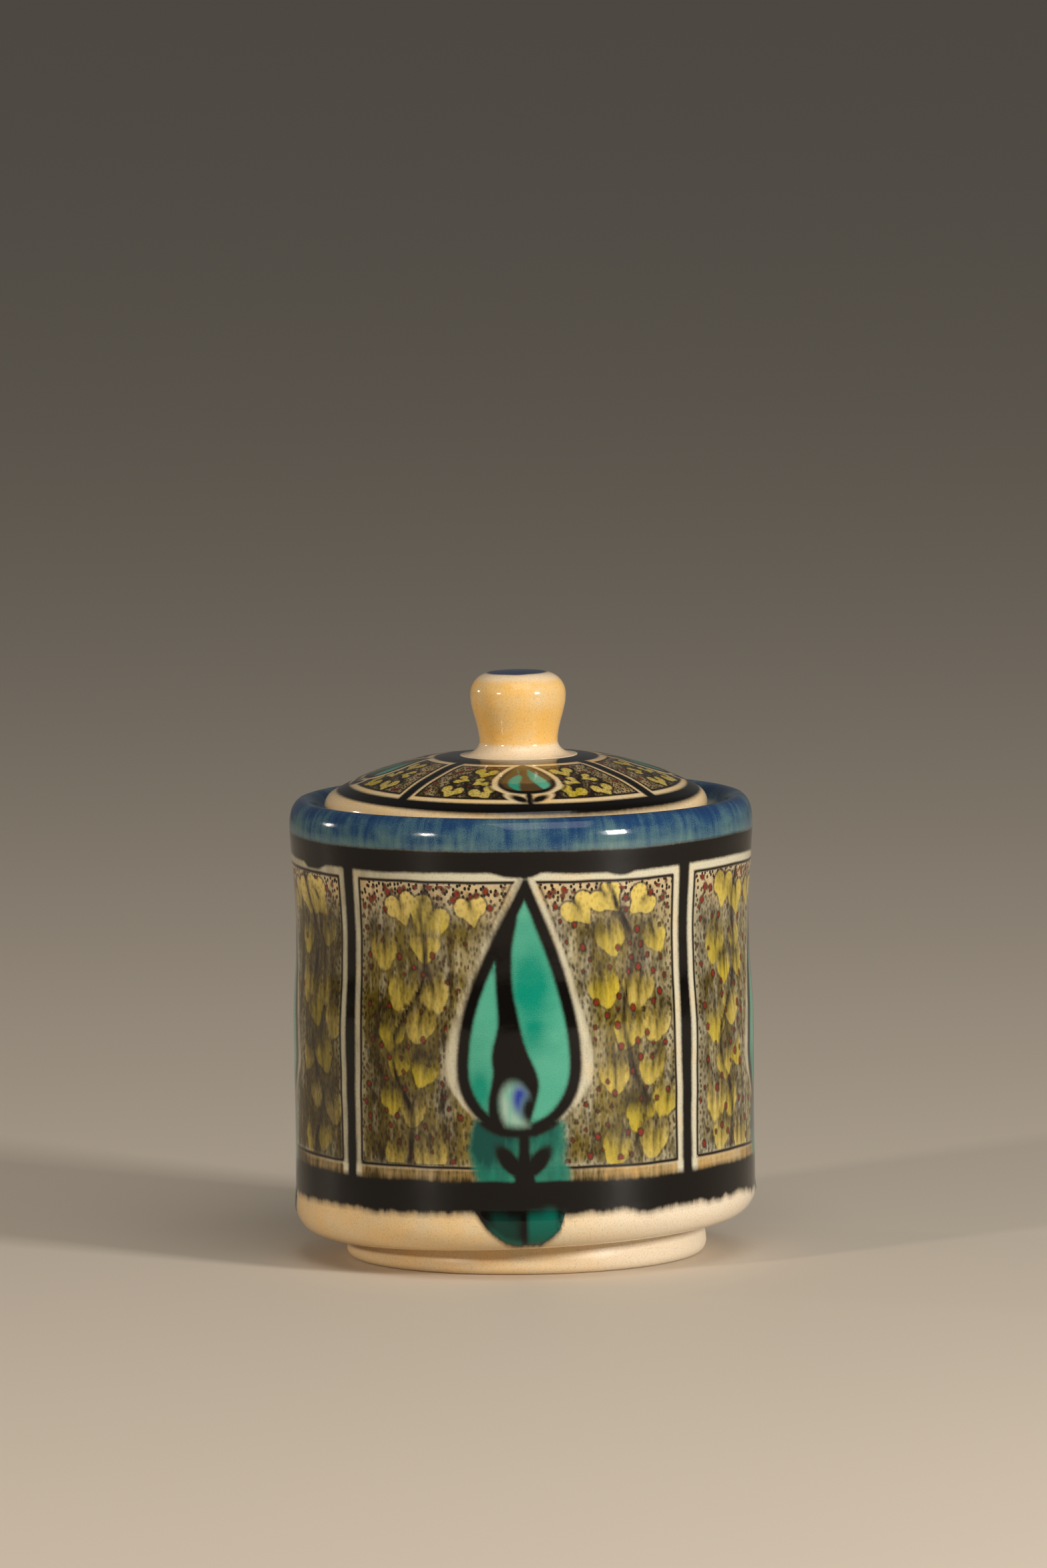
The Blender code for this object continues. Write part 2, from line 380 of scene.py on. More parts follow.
def curve(level, levels, values):
    """A hand-drawn edge through values at given heights, with its corners rounded over 6 mm."""
    return np.mean([np.interp(level + shift, levels, values) for shift in np.linspace(-3, 3, 7)], axis=0)


def scatter(rng, count, width, bottom, top, spacing):
    """Up to count places on a strip that joins up after width, none closer than spacing to another."""
    places = np.empty((0, 2))
    for across, height in zip(rng.uniform(0, width, count), rng.uniform(bottom, top, count)):
        apart = np.abs(places[:, 0] - across)
        if np.all(np.hypot(np.minimum(apart, width - apart), places[:, 1] - height) > spacing):
            places = np.vstack([places, (across, height)])
    return places


def run_down(field, keep):
    """Drags paint down the wall: each row holds at least the row above it times keep."""
    for row in range(1, len(field)):
        field[row] = np.maximum(field[row], field[row - 1] * keep[row])
    return field


# Rows of blossoms beside a drop, in millimetres
BLOSSOM_ROWS = np.arange(105.4, 34.0, -11.4)
BLOSSOM_PITCH = 11.0
BLOSSOM_MARGIN = 5.0  # from the halo round the drop
BLOSSOM_REACH = 44.0  # from the drop's middle line
TOP_BLOSSOM = 1.25  # the top row is painted this much larger


def blossom_places(rng):
    """Blossoms of the four panels as local offset, height, turn, size, tone and panel, in rows beside the drop."""
    places = []
    for panel in range(4):
        for side in (-1, 1):
            for row, level in enumerate(BLOSSOM_ROWS):
                inner = drop_width(drop_share(level)) + HALO + BLOSSOM_MARGIN
                count = max(2, round((BLOSSOM_REACH - inner) / BLOSSOM_PITCH))
                for k in range(count):
                    share = (k + 0.5 + 0.22 * (row % 2 * 2 - 1)) / count
                    offset = side * (inner + (BLOSSOM_REACH - inner) * share + rng.uniform(-2.0, 2.0))
                    height = level + rng.uniform(-3.2, 3.2)
                    turn = rng.uniform(-0.9, 0.9)
                    width = rng.uniform(6.6, 9.2) * (TOP_BLOSSOM if row == 0 else 1.0)
                    places.append((offset, height, turn, width, rng.uniform(0, 1), panel))
    return places


def jar_painting(angle, z, outside, radius):
    """The painted fields of the jar over its grid, by angle and height.

    Fields that end in mm are distances, negative inside a shape, and the rest are densities from 0 to 1. Shapes are
    joined by the least of their distances and cut by the greatest. Hand-drawn edges waver by random waves round
    the jar, whose length in mm is the second value given to drift.
    """
    rng = np.random.default_rng(11)
    round_mm = 2 * np.pi * radius
    u = angle * radius
    z = z + 0.35 * drift(u, 34, 1, round_mm) + 0.12 * drift(u, 7, 2, round_mm)
    level = z[:, :1]
    waver = 0.3 * drift(level, 17, 3)

    # Distance from the nearest bar, and across from the middle line of the nearest drop, which leans a little
    gap = np.stack([np.abs(wrap(angle - bar)) * radius + waver for bar in BAR_ANGLES])
    bar = gap.min(axis=0)
    turns = np.stack([wrap(angle - drop) * radius for drop in DROP_ANGLES])
    nearest = np.abs(turns).argmin(axis=0)
    a = np.take_along_axis(turns, nearest[None], axis=0)[0]
    a = a - 1.1 + 2.4 * smoothstep(DROP_TIP - z, 0, 50) + waver

    # The panel's field, kept clear of its cream frame and of the pale halo round the drop
    drop = drop_distance(a, z)
    sag = 0.5 * drift(u, 21, 9, round_mm) - 1.5 * smoothstep(drift(u, 15, 10, round_mm), 0.35, 0.9)
    halo_width = HALO * smoothstep(z, 44, 60) - 1.9 * smoothstep(z, 62, 84)
    frame_mm = np.minimum.reduce([BAND_FOOT - CREAM_LINE - z, z - FIELD_FOOT, bar - BAR_HALF - CREAM_LINE])
    halo_mm = drop - halo_width
    field = np.minimum(frame_mm, halo_mm)
    soft = 0.9 + 2.2 * smoothstep(z, 110, 84) * smoothstep(z, 47, 62)
    inside = smoothstep(frame_mm, 0.2, 1.2) * smoothstep(halo_mm, -0.55 * soft, 0.6 * soft)

    # The ragged lower edge of the painting, with the runs under the drops
    ragged = LOW_BAND_FOOT + 0.8 * drift(u, 13, 4, round_mm) + 0.45 * drift(u, 3.1, 5, round_mm)
    ragged = ragged + 0.2 * drift(u, 1.3, 6, round_mm)
    drip = np.interp(a, DRIP_OFFSETS, DRIP_LEVELS) + (DRIP_ENDS - DRIP_ENDS[0])[nearest]
    drip = drip + 0.25 * drift(u, 2.2, 7, round_mm)
    run_edge = np.minimum(ragged, drip)

    # Black: the two bands, the bars, the drop's outline, its comma stroke, and the stem with two leaves below
    outline = np.abs(drop + OUTLINE / 2) - OUTLINE / 2 + 0.3 * smoothstep(z, 54, 46)
    stroke_left, stroke_right = (curve(level, STROKE_LEVELS, edge) for edge in (STROKE_LEFT, STROKE_RIGHT))
    stroke = np.maximum.reduce([stroke_left - a, a - stroke_right, drop + 1.0, STEM_TOP - z])
    shelf = np.maximum.reduce([drop - 0.5, np.abs(a) - SHELF_HALF, np.abs(z - SHELF_LEVEL - 0.012 * a**2) - 1.5])
    stem_half = STEM_HALF + 0.2 * np.maximum(37 - z, 0)
    stem = np.maximum.reduce([np.abs(a - STEM_OFFSET) - stem_half, z - STEM_TOP, STEM_FOOT - z])
    out, rise = np.abs(a - STEM_OFFSET + 0.1) - LEAF_OFFSET, z - LEAF_LEVEL
    leaf = oval(0.6 * out + 0.8 * rise, 0.8 * out - 0.6 * rise, LEAF_LONG, LEAF_WIDE)
    black = np.minimum.reduce(
        [
            np.maximum(z - BLUE_FOOT, BAND_FOOT + sag - z),
            np.maximum(z - LOW_BAND_TOP - 0.3 * drift(u, 11, 12, round_mm), run_edge - z),
            np.maximum.reduce([bar - BAR_HALF, z - BLUE_FOOT, LOW_BAND_FOOT - z]),
            np.maximum(outline, z - 118),
            stroke,
            shelf,
            stem,
            leaf,
        ]
    )
    # Copper green: inside the drop, in the run below it, and in the tip that ran out under the low band
    run_width = RUN_HALF + 1.2 * drift(level + 60 * np.sign(a), 4.5, 8)
    run_green = smoothstep(np.abs(a - 0.3) - run_width, 0.9, -2.2)
    run_green = run_green * smoothstep(z, RUN_TOP, RUN_TOP - 3) * smoothstep(z, STEM_FOOT - 1, STEM_FOOT)
    green = np.maximum(smoothstep(drop, -0.8, -2.2), 0.92 * run_green)
    pool = run_green * smoothstep(drop, -2.4, -1.0)
    deep = np.zeros(z.shape)
    for offset, height, half, tall, amount in THICK_GREEN:
        deep = np.maximum(deep, amount * np.exp(-(((a - offset) / half) ** 2) - ((z - height) / tall) ** 2))
    deep = deep * 1.15 - 0.35 * smoothstep(z, 100, 108) + 0.2 + 0.5 * run_green
    low_rim = smoothstep(z - run_edge, 3.2, 0.6) * smoothstep(a, -11, -6)
    right_half = smoothstep(np.abs(a - 6.0), 5.6, 3.2)
    left_half = 0.3 * smoothstep(np.abs(a + 4.5), 5.5, 2.0)
    drip_green = smoothstep(z + 1.5 * drift(u, 3.4, 16, round_mm), 21.5, 16.5)
    drip_green = drip_green * np.maximum.reduce([right_half, left_half, 0.9 * low_rim])
    drip_green = drip_green * smoothstep(np.abs(a - 1.0), 0.3, 1.5) * smoothstep(z - run_edge, -0.2, 0.6)
    drip_green = drip_green * smoothstep(np.abs(a), 14, 11)

    # Blossoms, which ran longer and blunter the lower they are, with dark fingers and smudges in them
    blossom = np.full(z.shape, FAR)
    tone, body, smudge, fingers = (np.zeros(z.shape) for _ in range(4))
    for offset, height, turn, size, strength, panel in blossom_places(rng):
        ran = float(smoothstep(height, 105, 93))
        turn = turn * (1 - 0.55 * ran)
        p0, q0 = turns[panel] - offset, z - height
        p, q = p0 * math.cos(turn) + q0 * math.sin(turn), q0 * math.cos(turn) - p0 * math.sin(turn)
        tall = 1 + 0.8 * ran
        sunk = np.where(q > 0, q / tall, q / (1 + 0.2 * ran))
        distance = heart_distance(p, sunk, size, ran * (1 - 0.5 * strength)) - 0.06 * size
        settled = smoothstep(q / size, 0.40 * tall, -0.10)
        nearer = distance < blossom
        tone = np.where(nearer, strength, tone)
        body = np.where(nearer, 0.88 * (1 - ran) + ran * (0.35 + 0.65 * settled) * (0.85 + 0.15 * strength), body)
        blossom = np.minimum(blossom, distance)
        reach = smoothstep(q / size, -0.2, 0.1) * smoothstep(q / size, 0.8 * tall, 0.35 * tall)
        for across, amount in ((0.02, 0.95), (-0.30, 0.8 * ran), (0.27, 0.65 * ran)):
            fingers = np.maximum(fingers, amount * np.exp(-(((p / size - across) / 0.095) ** 2)) * reach)
        if strength > 0.45:
            smudge = np.maximum(smudge, strength * np.exp(-((p + 3) ** 2 + (q - 4) ** 2) / 14))
    inner = drop_width(drop_share(level)) + HALO
    side = np.where(a > 0, 1.0, -1.0)
    middle = (inner + PANEL_HALF) / 2 + 3.4 * np.sin(level / 7.3 + side) + 1.6 * drift(level + 40 * side, 9, 14)
    vine = np.abs(np.abs(a) - middle)

    # Washes: dry and clear at the top, wet and dragged down in streaks below, thickest round -66 degrees on the left,
    # where they are also painted shade
    dry = smoothstep(z, DRY_FROM, DRY_FULL)
    wet_foot = smoothstep(z, WET_FROM, WET_FULL)
    streak = 0.5 + 0.5 * drift(u, 1.9, 21, round_mm)
    broad = 0.5 + 0.5 * drift(u + 1.5 * drift(level, 14, 23), 4.6, 22, round_mm)
    margin = smoothstep(frame_mm, 4.5, 1.5)
    keep = 0.42 + (1 - dry) * (0.36 + 0.18 * streak**2)
    heart = smoothstep(blossom, 0.35, -0.5)
    smear = run_down(heart * body * (0.10 + 0.3 * streak), keep)
    smear = np.maximum(smear, (1 - dry) * 0.2 * smoothstep(broad, 0.1, 1.0)) * inside
    heavy_wash_and_shade = smoothstep(np.abs(wrap(angle - WASH_AND_SHADE_ANGLE)), 0.55, 0.2) * smoothstep(broad, 0.35, 0.75)
    dark = np.maximum.reduce([smoothstep(vine, 1.3, 0.35), 0.9 * fingers, 0.9 * smudge, 0.7 * heavy_wash_and_shade * (1 - dry)])
    dark = run_down(dark * inside, keep) * inside
    branch = 0.8 * smoothstep(vine, 4.6, 0.8) * (0.55 + 0.45 * drift(level, 8, 15)) * inside
    strip = smoothstep(z, FIELD_FOOT + 0.4, FIELD_FOOT - 0.6) * smoothstep(bar, 3.6, 4.4) * smoothstep(z, 27, 28)
    # shade darkens the wash, the strip and the blossoms on the left side of the jar: painted shade on top of thicker
    # wash
    shade = 0.5 * np.cos(angle - WASH_AND_SHADE_ANGLE)
    # near lightens the wash beside the drop, most on its right side: partly painted light
    near = smoothstep(halo_mm, 10, 0.5) * smoothstep(a, -40, 10)
    density = (0.56 + 0.16 * streak + 0.26 * broad + 0.45 * shade) * (1 - 0.22 * smoothstep(z, 74, 96))
    density = (1 - dry) * density * (1 - 0.3 * margin) * (1 - 0.5 * near) + 0.26 + 0.08 * dry
    # veil greys the drop's halo, more on its left half and upper left: partly painted shade
    veil = 0.10 + 0.12 * smoothstep(a, 2, -4) + 0.4 * smoothstep(a, 0, -3) * smoothstep(z, 66, 84)
    veil = veil * smoothstep(halo_mm, 0.5, -0.5)
    strip_wash = strip * (0.6 + 0.1 * streak + 0.6 * shade + 0.3 * smoothstep(np.abs(a), 30, 16))
    # lines darkens the cream frame lines on the left side: painted shade as well as wash
    lines = 0.45 * smoothstep(np.sin(angle), -0.3, -0.8) * wet_foot
    wash = np.maximum.reduce([density * inside, strip_wash, veil, lines])
    fringe = smoothstep(z - run_edge, -2.3, 0.2) * smoothstep(z, 29.9, 28.4)
    dark = np.maximum(dark, 0.9 * fringe)

    # Red dots beside the blossoms, closer along the top, and smaller under the thick wash and under the painted shade
    # on the left side
    red = np.full(z.shape, FAR)
    dots = [scatter(rng, tries, round_mm, *levels_and_spacing) for tries, *levels_and_spacing in RED_DOTS]
    for across, height in np.vstack(dots):
        away = np.hypot(wrap(angle - across / radius) * radius, (z - height) * 0.82)
        middle = np.where(outside, away, 2 * FAR).argmin()
        if blossom.flat[middle] > (0.3 if height > 100 else -1.0):
            red = np.minimum(red, away - rng.uniform(*RED_RADII))
    red = red + (1 - dry) * (0.35 * heavy_wash_and_shade + 0.3 * np.clip(shade, 0, 1))
    red = np.where(field > 1.2, red, FAR)

    blue = smoothstep(z, BLUE_FOOT - 1.2, BLUE_FOOT - 0.2)
    # The eye at the foot of a drop, with its cobalt spot and the black that shows through it
    offset, height, *half_axes = EYE
    eye = oval(a - offset + 0.10 * (z - height), z - height, *half_axes)
    spot, clear = (np.hypot((a - x) / half, (z - y) / tall) for x, y, half, tall in (COBALT_SPOT, CLEAR_SPOT))
    heel = smoothstep(z, 24, 18)
    off = np.where(outside, 0.0, FAR)
    fields = {
        "smear": smear,
        "tone": tone,
        # blossoms are dimmer on the left side: painted shade
        "body": body * (1 - 0.35 * np.clip(shade, 0, 1)),
        "dark": dark,
        "branch": branch,
        "wash": wash,
        "teal": green,
        "deep": np.clip(deep, 0, 1),
        "spot": smoothstep(spot, 1.45, 0.4),
        "clear": smoothstep(clear, 0.45, 1.45),
        "brown": np.zeros(z.shape),
        "drip": drip_green,
        "run": pool * (0.5 + 0.6 * smoothstep(z, 30, 38) * smoothstep(a, 1, -7) + 0.2 * smoothstep(z, 36, 42)),
    }
    fields = {name: np.where(outside, values, 0) for name, values in fields.items()}
    return fields | {
        "black_mm": black + off,
        "eye_mm": np.maximum(eye, drop + 2.4) + off,
        "blossom_mm": np.where(field > 0.3, blossom, FAR) + off,
        "frame_mm": np.where(outside, frame_mm, -FAR),
        "halo_mm": np.where(outside, halo_mm, -FAR),
        "red_mm": red + off,
        "wet": (1 - dry) * wet_foot * (1 - 0.75 * margin * smoothstep(z, 36, 42)),
        "cobalt": np.where(outside, blue, smoothstep(z, 125.6, 127.0)),
        # The heel is more ochre on the left and paler on the right: partly the slip's colour, partly painted light
        # from the right side
        "warm": 0.02 + (0.53 - 0.2 * np.sin(angle)) * heel + np.where(outside, 0.65 * strip + 0.42 * dry * inside, 0),
        "blush": (0.2 + 0.7 * smoothstep(np.sin(angle), -0.1, 0.8)) * heel,
    }


# How finely each piece is turned: rows along its outline and columns round its axis
JAR_ROWS, JAR_COLUMNS = 188, 512
LID_ROWS, LID_COLUMNS = 150, 480
FOOT_COLUMNS = 320
KNOB_COLUMNS = 192

# Share of the jar's rows for each length of its outline: inside, over the rim, outside and under the base
INSIDE_WEIGHT, RIM_WEIGHT, OUTSIDE_WEIGHT, BASE_WEIGHT = 0.16, 0.7, 1.0, 0.03

# Small roundings and overlaps, in millimetres
LEDGE_ROUND = 1.6
GALLERY_ROUND = 1.0
FOOT_INNER_ROUND = 1.2
FOOT_TUCK = 0.4  # the foot reaches this far into the body
KNOB_SINK = 0.6  # the knob is let this far into the dome
KNOB_CROWN = 0.25  # rise of the knob's top
KNOB_BASE_LIP = 0.35  # thickness of the knob's base at its edge
KNOB_BASE_TUCK = 0.4  # how far the base draws in under that edge


def jar_outline(s):
    """The jar from the middle of its floor up the inside, over the rim and down to its base, with row weights.

    Fillet, lip, rim, bead and heel are quarter ellipses, and the walls between them are half cosine waves.
    """
    crest, rim, under = JAR_HIGH[2], JAR_HIGH[0], JAR_LOW[2]
    inner = s.belly - s.wall
    ledge = crest - s.gallery
    gallery = rim - s.rim_wall
    mouth = gallery - s.ledge
    crest_radius = rim - s.rim_wall / 2
    floor_edge = (inner, under + s.floor + s.fillet)
    undercut = (s.waist - s.wall, ledge - s.ledge_thick - s.undercut)
    over_rim = arc((crest_radius, crest - s.rim_inner), (s.rim_wall / 2, s.rim_inner), 180, 90, 12)
    inside = np.vstack(
        [
            [(0, under + s.floor)],
            arc((inner - s.fillet, floor_edge[1]), (s.fillet, s.fillet), -90, 0, 12),
            ease(floor_edge, undercut, 12)[1:],
            ease(undercut, (mouth, ledge - s.ledge_thick), 8)[1:],
            arc((mouth + LEDGE_ROUND, ledge - LEDGE_ROUND), (LEDGE_ROUND, LEDGE_ROUND), 180, 90, 6),
            arc((gallery - GALLERY_ROUND, ledge + GALLERY_ROUND), (GALLERY_ROUND, GALLERY_ROUND), -90, 0, 4),
            over_rim[:1],
        ]
    )
    waist, belly = (s.waist, crest - s.waist_drop), (s.belly, under + s.belly_rise)
    outside = np.vstack(
        [
            arc((crest_radius, crest - s.rim_bead), (s.rim_wall / 2, s.rim_bead), 90, 0, 16)[1:],
            ease((rim, crest - s.rim_bead), waist, 24)[1:],
            ease(waist, belly, 24)[1:],
            arc((s.belly - s.heel, under + s.heel), (s.heel, s.heel), 0, -90, 16),
            [(0, under)],
        ]
    )
    outline = np.vstack([inside, over_rim[1:], outside])
    weights = np.full(len(outline), INSIDE_WEIGHT)
    weights[len(inside) :] = RIM_WEIGHT
    weights[-len(outside) :] = OUTSIDE_WEIGHT
    weights[-1] = BASE_WEIGHT
    return outline, weights


class POTTERY_OT_jar(bpy.types.Operator):
    """Turns the jar and paints its panels, bands and drops"""

    bl_idname = "pottery.jar"
    bl_label = "Jar"

    def execute(self, context):
        s = sizes_in_mm(context)
        dense = resample(*jar_outline(s), JAR_ROWS)
        radius, height = dense[:, :1], dense[:, 1:]
        outside = (np.arange(JAR_ROWS) >= np.argmax(dense[:, 1]))[:, None]
        closed = once_round(JAR_COLUMNS, BAR_ANGLES[3])
        angle = closed[:-1]
        lean = s.lean * np.sin(angle) * smoothstep(height, 46, 12)
        level = height + lean * np.where(outside, 1, smoothstep(height, 30, 8))
        fields = jar_painting(angle[None, :], level, outside, s.belly)
        # The radius has throwing rings as two random waves up the wall, a sway as one wave round it,
        # and a thick bead on the glaze that ran out
        throwing = 0.10 * drift(height, 6.5, 31) + 0.10 * drift(height, 15, 32)
        sway = 0.16 * drift(angle * s.belly, 70, 33, 2 * np.pi * s.belly)
        bead = 0.35 * smoothstep(fields["black_mm"], 0.8, -1.2) * smoothstep(level, 21, 17)
        shaped = radius + smoothstep(radius, 40, 55) * (throwing + sway) + np.where(outside, bead, 0)
        uv = closed * s.belly, np.hstack([level, level[:, :1]])
        jar = turned_surface("jar", shaped, level, angle, 0.0, fields, uv)
        jar.data.materials.append(painted_glaze("Painted earthenware, clear-glazed", context.scene.pottery_colours))
        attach(jar, "jar")
        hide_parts("jar_body")
        return {"FINISHED"}


def foot_outline(s, wide, top):
    """The section of the foot ring: half a cosine wave from its neck out to its widest point, then two arcs."""
    inner = wide - s.foot_width
    return np.vstack(
        [
            ease((s.foot_neck, top), (wide, s.foot_round), 14),
            arc((wide - s.foot_round, s.foot_round), (s.foot_round, s.foot_round), 0, -90, 10)[1:],
            arc((inner + FOOT_INNER_ROUND, FOOT_INNER_ROUND), (FOOT_INNER_ROUND, FOOT_INNER_ROUND), -90, -180, 6),
            [(inner, top)],
        ]
    )


class POTTERY_OT_foot(bpy.types.Operator):
    """Turns the foot ring under the jar"""

    bl_idname = "pottery.foot"
    bl_label = "Foot ring"

    def execute(self, context):
        s = sizes_in_mm(context)
        top = JAR_LOW[2] + FOOT_TUCK
        outline = foot_outline(s, FOOT_HIGH[0], top)
        radius, height = outline[:, :1], outline[:, 1:]
        angle = once_round(FOOT_COLUMNS)[:-1]
        right = np.sin(angle)
        level = height + s.lean * right * height / top
        sway = 0.15 * drift(angle, 0.9, 35, 2 * np.pi)
        # The foot is paler on the right and more ochre on the left: partly the slip's colour, partly painted light
        # from the right side
        fields = {"warm": 0.6 - 0.2 * right, "blush": 0.3 + 0.6 * smoothstep(right, -0.1, 0.8), "cobalt": 0.0}
        foot = turned_surface("foot", radius + sway, level, angle, 0.0, fields, ring=True)
        foot.data.materials.append(cream_glaze("Clear-glazed buff clay", context.scene.pottery_colours, THIN_GLAZE))
        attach(foot, "jar")
        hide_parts("foot_ring")
        return {"FINISHED"}


# Where the painting lies on the lid, in millimetres from its centre and degrees from the front
LID_TURN = math.radians(4.6)
LID_RING_OUT = 23.6
LID_PANEL_IN = 25.8
LID_PANEL_OUT = 46.3
LID_BAND_IN = 48.0
LID_BAND_OUT = 51.9
LID_BAR_HALF = 1.75
LID_LINE = 1.0
LID_DROP_WIDEST = 38.0
LID_DROP_BOTTOM = 43.4
LID_DROP_HALF = 7.9
LID_DROP_PINCH = 1.25
LID_HALO = 1.1
LID_LEAF_OFFSET, LID_LEAF_OUT, LID_LEAF_LONG, LID_LEAF_WIDE = 2.7, 45.9, 3.0, 1.25
LID_PAINT_SHIFT = 0.8, 2.5  # how far the rings lie off centre at the lid's edge, to the right and to the front
LID_REACH = 52.0  # from the centre to where the painting ends
LID_BRUSH = 0.62  # size of the lid's dots against the jar's
LID_RED_DOTS, LID_RED_REACH, LID_RED_RADII = 420, (24, 46), (0.45, 0.75)
LID_LIP_START = 62  # degrees above level at which the dome runs into the lip
# Blossoms of half a panel: offset from the drop's middle line, distance from the lid's centre, size and tilt
LID_BLOSSOMS = (
    (10.4, 29.4, 7.0, 0.5),
    (17.0, 31.8, 5.2, -0.8),
    (12.4, 35.4, 5.4, 1.2),
    (20.8, 37.7, 6.8, 0.7),
    (12.2, 41.4, 7.6, -0.2),
)
# The vine beside them, as its offset at each distance from the centre, and its curls as offset, distance and radius
LID_VINE_LEVELS = [26.0, 29.0, 32.0, 35.0, 38.0, 42.0, 46.0]
LID_VINE = [8.0, 13.2, 14.0, 16.2, 16.8, 17.2, 16.2]
LID_CURLS = ((12.0, 41.2, 4.6), (12.6, 33.2, 5.4))
# The middle lines of the two green lobes in a drop, as distances from the centre and offsets there
LID_LEFT_LOBE = [32.5, 35.0, 38.0, 40.0, 42.2], [-1.7, -2.8, -3.6, -3.4, -2.4]
LID_RIGHT_LOBE = [28.0, 32.0, 36.0, 39.0, 42.0], [0.9, 1.9, 3.4, 4.5, 5.1]


